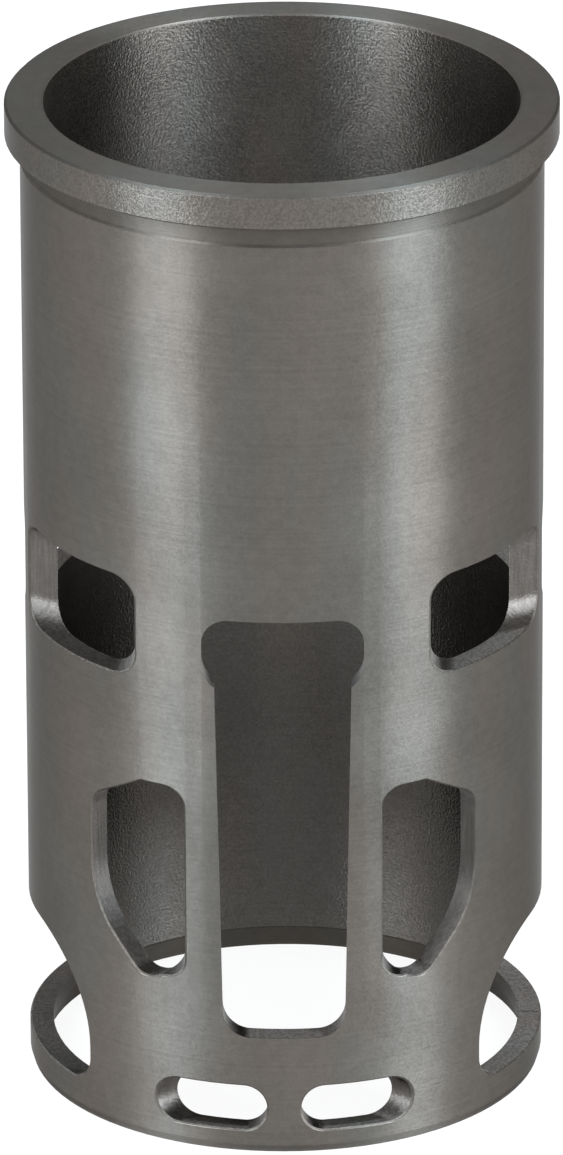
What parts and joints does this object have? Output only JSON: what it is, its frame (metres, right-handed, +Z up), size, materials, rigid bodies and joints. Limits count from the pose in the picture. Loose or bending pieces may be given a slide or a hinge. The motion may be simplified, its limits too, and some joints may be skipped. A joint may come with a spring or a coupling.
{
  "type": "cylinder liner",
  "caption": "Flanged two-stroke cylinder liner: a one-piece iron tube with boost, transfer, exhaust and inlet ports, and cut-outs and slots in its skirt.",
  "frame": {"origin": "centre of the skirt's bottom face, on the bore axis", "axes": "+Z up the bore to the flange, -Y out of the boost port, +Y out of the exhaust port, +X to the right seen from the boost port"},
  "size_m": [0.0772, 0.0772, 0.1448],
  "materials": {
    "iron": "ground barrel, turned flange, bored inside, milled ports"
  },
  "bodies": {
    "root": {"liner": "iron"}
  },
  "joints": []
}
